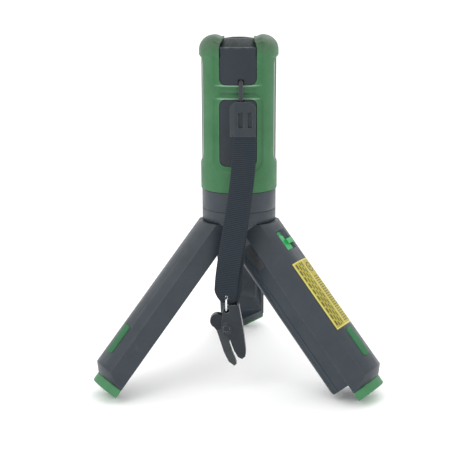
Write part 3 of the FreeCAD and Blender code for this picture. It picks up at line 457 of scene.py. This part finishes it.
def make_light():
    """A white surround with one large soft lamp from the upper left and one from behind."""
    world = bpy.data.worlds.new("studio")
    world.use_nodes = True
    background = world.node_tree.nodes["Background"]
    background.inputs["Color"].default_value = (1, 1, 1, 1)
    background.inputs["Strength"].default_value = 1.28
    bpy.context.scene.world = world
    middle, size = mm(0, 0, 117), 0.9
    for name, place, power in (("key", (-0.9, -1.1, 1.5), 6), ("back", (0.8, 1.2, 1.3), 5)):
        data = bpy.data.lights.new(name, "AREA")
        data.size = size
        data.energy = power
        lamp = bpy.data.objects.new(name, data)
        lamp.location = place
        lamp.rotation_euler = (middle - Vector(place)).to_track_quat("-Z", "Y").to_euler()
        bpy.context.scene.collection.objects.link(lamp)
    bpy.context.scene.view_settings.view_transform = "Standard"


def make_floor():
    """A plain pale disc under the feet."""
    mesh = bpy.data.meshes.new("floor")
    shape = bmesh.new()
    bmesh.ops.create_circle(shape, cap_ends=True, radius=6.0, segments=96)
    shape.to_mesh(mesh)
    shape.free()
    floor = link("floor", mesh)
    floor.location.z = cad_box[0][2]
    pale = dict(dark=(0.955, 0.955, 0.955), light=(0.965, 0.965, 0.965), rough=0.75, patch=3, specular=0.1)
    mesh.materials.append(surface("floor", grain=60, depth=0.02, **pale))


# ---------------------------------------------------------------- lanyard

def spline(name, points):
    """A bare curve through the route's control points, in metres."""
    data = bpy.data.curves.new(name, "CURVE")
    data.dimensions = "3D"
    data.resolution_u = 24
    line = data.splines.new("NURBS")
    line.points.add(len(points) - 1)
    for point, (x, y, z) in zip(line.points, points):
        point.co = (x, y, z, 1)
    line.order_u = 3
    line.use_endpoint_u = True
    return link(name, data)


def followed(name, points):
    """The points along a route's spline."""
    bare = spline(name, points)
    mesh = evaluated(bare)
    path = [v.co.copy() for v in mesh.vertices]
    bpy.data.objects.remove(bare)
    return path


CORD_ROUTE = [(2.0, -30.7, 201.8), (2.0, -29.4, 207.1), (2.1, -29.2, 213.2), (2.15, -22.8, 213.2),
              (2.3, -22.7, 206.7), (2.1, -22.9, 199.5), (2.0, -27.9, 197.2)]
CORD_WIDE, CORD_LONG = 3.0, 34.3


def make_cord():
    """The braided cord that loops over the bar and goes back into the cap."""
    cord = spline("braided_cord", [Vector(p) * MM for p in CORD_ROUTE])
    cord.data.bevel_depth = CORD_WIDE / 2 * MM
    cord.data.bevel_resolution = 6
    cord.data.use_fill_caps = True
    piece(cord, "head", "cord_black", "lanyard_cord")


WEBBING_ROUTES = {
    "webbing_front": [(4.3, -32.45, 182.1), (4.5, -32.7, 173.0), (3.9, -37.2, 156.5), (1.0, -39.9, 132.5),
                      (-3.4, -40.7, 108.5), (-6.9, -40.2, 86.5), (-8.0, -38.4, 74.5), (-8.4, -38.35, 64.4)],
    "webbing_back": [(4.3, -30.4, 182.1), (4.6, -30.6, 172.5), (3.9, -31.9, 154.5), (0.9, -33.7, 131.5),
                     (-2.4, -35.0, 107.5), (-4.3, -35.3, 86.5), (-5.4, -36.6, 74.5), (-6.4, -36.65, 64.4)],
}
ACROSS_SAMPLES = 15
EYELET, EYELET_RADIUS = (-7.8, -37.5, 67.5), 2.0


def resampled(path, step):
    """Points evenly spaced along a path, about step apart, with their distances along it."""
    points = np.array([tuple(p) for p in path])
    keep = np.r_[True, np.linalg.norm(np.diff(points, axis=0), axis=1) > 1e-9]
    points = points[keep]
    along = np.r_[0, np.cumsum(np.linalg.norm(np.diff(points, axis=0), axis=1))]
    stations = np.linspace(0, along[-1], int(along[-1] / step) + 1)
    return np.stack([np.interp(stations, along, points[:, k]) for k in range(3)], 1), stations


def strip_section(row, tangent, along, total, twist):
    """The ring of points round the strip at one place of its path, and where they are on its pattern."""
    half, thick = STRAP_WIDE / 2 * MM, STRAP_THICK / 2 * MM
    rib_pitch, rib_depth = total / STRAP_RIBS, 0.26 * MM
    gather_start, gather_left, gather_right = 9.0 * MM, 0.62, 0.20
    half_waves, crown_high = 2.2, 0.25 * MM
    middle_share, selvedge_share, selvedge_place, selvedge_wide, edge_thinner = 0.86, 0.14, 0.93, 0.05, 0.45
    spans = np.linspace(-1, 1, ACROSS_SAMPLES)
    angle = twist * math.sin(half_waves * math.pi * along / total)
    side = Vector((1, 0, 0)) * math.cos(angle) + Vector((0, 1, 0)) * math.sin(angle)
    forward = Vector(tangent)
    side = (side - forward * side.dot(forward)).normalized()
    normal = forward.cross(side)
    if normal.y > 0:
        normal.negate()
    rib = rib_depth * math.cos(2 * math.pi * along / rib_pitch)
    pull = max(0.0, 1 - (total - along) / gather_start) ** 1.6
    ring, uvs = [], []
    for face, order in ((1, spans), (-1, spans[::-1])):
        for span in order:
            reach = half * span * (1 - pull * (gather_left if span < 0 else gather_right))
            selvedge = math.exp(-((abs(span) - selvedge_place) / selvedge_wide) ** 2)
            flat = 1 - edge_thinner * max(0.0, (abs(span) - 0.95) / 0.05)
            lift = thick * flat * (middle_share + selvedge_share * selvedge)
            lift = face * (lift + rib * 0.5 * (1 - abs(span) ** 8))
            crown = -crown_high * (1 - span * span)
            ring.append(Vector(row) + side * reach + normal * (lift - crown))
            uvs.append((span * 0.5 + 0.5, along / total))
    return ring, uvs


def tube_faces(rings, count):
    """The faces of a closed tube of rings with count points each."""
    faces = []
    for r in range(rings - 1):
        for c in range(count):
            a, b = r * count + c, r * count + (c + 1) % count
            faces.append((a, b, b + count, a + count))
    faces.append(tuple(range(count))[::-1])
    faces.append(tuple(range((rings - 1) * count, rings * count)))
    return faces


def make_webbing(node, twist):
    """One woven strip with ribs across it, a thicker selvedge and a gathered lower end."""
    row_step = 0.28
    path = followed(node + "_route", [Vector(p) * MM for p in WEBBING_ROUTES[node]])
    rows, stations = resampled(path, row_step * MM)
    tangents = np.gradient(rows, axis=0)
    tangents /= np.linalg.norm(tangents, axis=1)[:, None]
    sections = [strip_section(row, tangent, along, stations[-1], twist)
                for row, along, tangent in zip(rows, stations, tangents)]
    points = [point for ring, _ in sections for point in ring]
    uvs = [uv for _, ring_uvs in sections for uv in ring_uvs]
    mesh = bpy.data.meshes.new(node + "_strip")
    mesh.from_pydata(points, [], tube_faces(len(sections), ACROSS_SAMPLES * 2))
    layer = mesh.uv_layers.new(name="strip")
    for loop in mesh.loops:
        layer.data[loop.index].uv = uvs[loop.vertex_index]
    strip = smooth(link("woven_" + node.split("_")[1], mesh))
    make_eyelet(strip, node)
    piece(strip, "lanyard", "webbing", node)


def make_eyelet(strip, node):
    """The hole through the strip's lower end that the ring passes through."""
    mesh = bpy.data.meshes.new(node + "_punch")
    shape = bmesh.new()
    radius = EYELET_RADIUS * MM
    bmesh.ops.create_cone(shape, cap_ends=True, segments=32, radius1=radius, radius2=radius, depth=20 * MM)
    shape.to_mesh(mesh)
    shape.free()
    punch = link(node + "_punch", mesh)
    punch.matrix_world = Matrix.Translation(mm(*EYELET)) @ Matrix.Rotation(math.pi / 2, 4, "X")
    hole = strip.modifiers.new("eyelet", "BOOLEAN")
    hole.operation = "DIFFERENCE"
    hole.object = punch
    hole.solver = "EXACT"
    applied(strip)
    bpy.data.objects.remove(punch)


def shape_cap(points):
    """Slant the cap's left front edge back, so that the cap has a broad left flank."""
    crease, front, back, slant = -1.9, -34.4, -29.1, 0.85
    x, y, z = points.T
    toward_front = np.clip((back - y) / (back - front), 0, 1)
    return np.stack([x, y + slant * np.maximum(crease - x, 0) * toward_front, z], 1)


def make_lanyard():
    make_cord()
    make_webbing("webbing_front", 0.10)
    make_webbing("webbing_back", 0.16)
    cap = eased_copy("strap_cap", "grip_cap", voxel=0.22, passes=3, shape=shape_cap)
    piece(cap, "lanyard", "cap_plastic", "strap_cap")


# ---------------------------------------------------------------- head

def window_distance(across, height, half, low, high, corner=WINDOW_CORNER):
    """How far each point is outside a rounded window, in millimetres; negative inside."""
    dx = np.abs(across) - (half - corner)
    dz = np.abs(height - (low + high) / 2) - ((high - low) / 2 - corner)
    outside = np.hypot(np.maximum(dx, 0), np.maximum(dz, 0))
    return outside + np.minimum(np.maximum(dx, dz), 0) - corner


def shape_cage(points):
    """Sink a frame round each window of the cage, raise a small lip at it, and round the shoulders off."""
    open_top, beside, nowhere = 266.0, 8, 99
    frame_wide, frame_deep, step_wide, lip_wide, lip_high = 4.9, 0.8, 1.6, 0.8, 0.6
    side_wide, side_deep, skin_start, skin_rise = 2.2, 0.35, 25.3, 0.5
    round_wide, round_deep, round_start, round_rise = 4.5, 1.5, 2, 3
    roof_curve = 6.6
    x, y, z = points.T
    radius = np.hypot(x, y)
    fronts = np.minimum(window_distance(x, z, WINDOW_HALF, LOW_BASE, BRIDGE_BASE),
                        window_distance(x, z, WINDOW_HALF, BRIDGE_TOP, open_top))
    fronts = np.where(np.abs(y) > beside, fronts, nowhere)
    sides = window_distance(y, z, SIDE_HALF, SIDE_BASE, SIDE_TOP)
    sides = np.where(np.abs(x) > beside, sides, nowhere)
    outer = np.clip((radius - skin_start) / skin_rise, 0, 1) * (z < ROOF_EDGE + roof_curve)
    step = np.clip((frame_wide - fronts) / step_wide, 0, 1)
    sink = frame_deep * step * step * (3 - 2 * step)
    lip = lip_high * np.exp(-(fronts / lip_wide) ** 2)
    sink_side = side_deep * np.clip(1 - sides / side_wide, 0, 1) ** 1.2
    change = (lip - sink - sink_side) * outer
    scale = 1 + change / np.maximum(radius, 1)
    near_gap = np.clip(1 - (np.abs(x) - WINDOW_HALF) / round_wide, 0, 1)
    near_gap = near_gap * np.clip((z - ROOF_EDGE - round_start) / round_rise, 0, 1)
    return np.stack([x * scale, y * scale, z - round_deep * near_gap ** 2], 1)


def make_head():
    cage = eased_copy("rubber_cage", "soft_cage", voxel=0.5, passes=4, shape=shape_cage, keep=0.35)
    piece(cage, "head", "green_rubber", "rubber_cage")
    panels = [f"{face}_{level}_panel" for face in ("front", "rear") for level in ("upper", "lower")]
    for node in (*panels, "left_window", "right_window"):
        soften(node, 0.25)
    for node in ("top_cap", "top_bezel", "collar", "leg_hub"):
        soften(node, 0.3)


# ---------------------------------------------------------------- legs

def make_legs():
    for side in ("left", "right", "rear"):
        soften(side + "_leg", 0.5)
        body = side + "_leg_body"
        foot = eased_copy(side + "_foot", side + "_rubber_foot", voxel=0.45, passes=4, keep=0.4)
        piece(foot, body, "foot_green", side + "_foot")
        pad = eased_copy(side + "_pad", side + "_grip_pad", voxel=0.3, passes=4)
        piece(pad, body, "pad_green", side + "_pad")
    soften("battery_box", 0.4)
    soften("battery_cover", 0.4)
    make_latch()
    slider = eased_copy("power_slider", "switch_knob", voxel=0.2, passes=3)
    piece(slider, nodes["power_slider"]["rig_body"], "slider_green", "power_slider")
    make_label()


def make_latch():
    """The flat latch on the side of the battery box that faces the lanyard."""
    side, proud, radial, below, long, wide = -16.2, 0.35, -6.2, 19.6, 15.6, 6.2
    mesh = bpy.data.meshes.new("latch")
    shape = bmesh.new()
    bmesh.ops.create_cube(shape, size=1.0)
    shape.to_mesh(mesh)
    shape.free()
    latch = link("box_latch", mesh)
    mesh.transform(Matrix.Diagonal((proud * 2 * MM, wide * MM, long * MM, 1)))
    mesh.transform(splayed(RIGHT_LEG) @ Matrix.Translation(mm(side, radial, COLLAR_BASE - below)))
    round_off = latch.modifiers.new("round", "BEVEL")
    round_off.width = 0.3 * MM
    round_off.segments = 3
    piece(smooth(applied(latch)), "right_leg_body", "black_plastic", finish="latch_grey")


LABEL_HALF, LABEL_LONG, LABEL_START = 10.5, 54.0, 37.2
BORDER_IN, BORDER_WIDE, DIVIDER = 0.5, 0.45, -0.4
GRID_STEP = 0.3


def grid_lines(low, high, marks):
    """Lines about GRID_STEP apart between two limits, with a line at each mark."""
    even = np.linspace(low, high, round((high - low) / GRID_STEP) + 1)
    clear = [line for line in even if min(abs(line - mark) for mark in marks) > GRID_STEP * 0.4]
    return sorted({*clear, *marks, low, high})


def make_label():
    """The label on the right leg: a curved sheet with a printed border, a divider and plain bars."""
    high = COLLAR_BASE - LABEL_START
    near, far = BORDER_IN, BORDER_IN + BORDER_WIDE
    side_marks = [sign * (LABEL_HALF - inset) for sign in (-1, 1) for inset in (near, far)]
    columns = grid_lines(-LABEL_HALF, LABEL_HALF, side_marks + [DIVIDER, DIVIDER + BORDER_WIDE])
    rows = grid_lines(0, LABEL_LONG, [near, far, LABEL_LONG - far, LABEL_LONG - near])
    turn = splayed(RIGHT_LEG)
    radius, thickness = LEG_RADIUS + 0.2, 0.16
    mesh = bpy.data.meshes.new("label")
    for name in ("label_yellow", "label_print", "label_ink"):
        mesh.materials.append(finishes[name])
    shape = bmesh.new()
    grid = []
    for down in rows:
        line = []
        for across in columns:
            angle = math.asin(across / radius)
            spot = mm(radius * math.sin(angle), -radius * math.cos(angle), high - down)
            line.append(shape.verts.new(turn @ spot))
        grid.append(line)
    for r in range(len(rows) - 1):
        for c in range(len(columns) - 1):
            face = shape.faces.new((grid[r][c], grid[r + 1][c], grid[r + 1][c + 1], grid[r][c + 1]))
            across, down = (columns[c] + columns[c + 1]) / 2, (rows[r] + rows[r + 1]) / 2
            face.material_index = label_finish(across, down)
    bmesh.ops.recalc_face_normals(shape, faces=shape.faces[:])
    shape.to_mesh(mesh)
    shape.free()
    label = smooth(link("leg_label_sheet", mesh))
    thick = label.modifiers.new("thick", "SOLIDIFY")
    thick.thickness = thickness * MM
    thick.offset = 0
    inks = ("label_print", "label_ink")
    piece(applied(label), "right_leg_body", "label_yellow", "leg_label", extra=inks)


def label_finish(across, down):
    """Which finish a place on the label has: 0 yellow, 1 pale print, 2 dark ink."""
    yellow, pale, ink = 0, 1, 2
    margin, gutter = 1.8, 0.6
    row_pitch, word_pitch, word_long, row_shift = 1.9, 5.1, 3.6, 1.7
    mark_across, mark_down, ring_inner, ring_outer, dot = 4.2, 7.0, 2.9, 3.7, 1.1
    lines_start, line_pitch, line_end, ragged = 14, 0.6, 8.5, 0.37
    edge = min(LABEL_HALF - abs(across), down, LABEL_LONG - down)
    if BORDER_IN < edge < BORDER_IN + BORDER_WIDE or DIVIDER < across < DIVIDER + BORDER_WIDE:
        return pale
    if edge < margin:
        return yellow
    if across < DIVIDER - gutter:
        row = int((across + LABEL_HALF) / (row_pitch / 2))
        along_row = (down + (row * row_shift) % word_pitch) % word_pitch
        return ink if row % 2 == 0 and along_row < word_long else yellow
    spread = math.hypot(across - mark_across, down - mark_down)
    if ring_inner < spread < ring_outer or spread < dot:
        return ink
    if across > DIVIDER + gutter * 2 and down > lines_start:
        on_line = int(down / line_pitch) % 3 == 0
        return ink if on_line and across < line_end - (down * ragged) % 2 else yellow
    return yellow


# ---------------------------------------------------------------- clip

PIVOT_X, PIVOT_Z, KNOB_X, KNOB_Z = -7.8, 46.5, -14.0, 51.4
CHEEK_FRONT = -40.9


def shape_cheek(points):
    """Raise a round boss on the clip's front cheek, about its pin, with a groove in it."""
    boss_radius, boss_high, boss_slope = 4.3, 0.5, 0.35
    groove_radius, groove_deep, groove_wide = 2.9, 0.35, 0.45
    x, y, z = points.T
    from_pin = np.hypot(x - PIVOT_X, z - PIVOT_Z)
    boss = boss_high * np.clip((boss_radius - from_pin) / boss_slope, 0, 1)
    boss = boss - groove_deep * np.exp(-((from_pin - groove_radius) / groove_wide) ** 2)
    return np.stack([x, y - boss * (y < CHEEK_FRONT), z], 1)


def on_knob(spot):
    """Whether a place on the lever is on its knob."""
    knob_radius, knob_base = 6.2, 49.0
    return math.hypot(spot.x - KNOB_X, spot.z - KNOB_Z) < knob_radius or spot.z > knob_base


def make_clip():
    plate = eased_copy("clip_plate", "clip_cheeks", voxel=0.2, passes=2, shape=shape_cheek)
    piece(plate, "clip", "clip_metal", "clip_plate")
    lever = eased_copy("clip_lever", "clip_jaw", voxel=0.2, passes=4)
    for name in ("clip_grey", "clip_knob"):
        lever.data.materials.append(finishes[name])
    for face in lever.data.polygons:
        face.material_index = int(on_knob(face.center / MM))
    piece(lever, "clip_lever_body", "clip_metal", "clip_lever", finish="clip_grey", extra=("clip_knob",))
    soften("clip_pin", 0.15)
    soften("clip_ring", 0.0)


make_camera()
make_light()
make_floor()
make_lanyard()
make_head()
make_legs()
make_clip()

dress_nodes()
